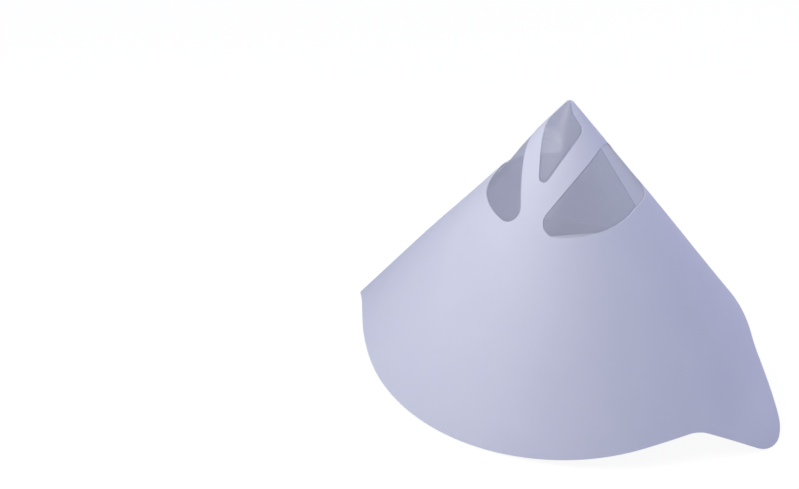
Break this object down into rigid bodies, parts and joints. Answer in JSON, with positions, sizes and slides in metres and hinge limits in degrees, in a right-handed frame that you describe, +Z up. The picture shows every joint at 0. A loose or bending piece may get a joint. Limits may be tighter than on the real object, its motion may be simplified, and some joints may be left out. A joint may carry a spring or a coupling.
{
  "type": "cone paint strainer",
  "caption": "Folded white card cone for straining paint, with lobed and eared rim, and a fine nylon net glued inside over the windows round its tip.",
  "frame": {"origin": "middle of the standing cone's bounding box, on the ground it stands on", "axes": "+Z up out of the ground, with the mouth down and the tip up; +X towards the glued seam, -X towards the fold; the panel whose lobe rests on the ground faces -Y"},
  "size_m": [0.1688, 0.128, 0.1012],
  "materials": {
    "card": "matt white coated card",
    "net": "fine white nylon weave, semi-transparent"
  },
  "bodies": {
    "root": {"card_cone": "card", "nylon_net": "net"}
  },
  "joints": []
}
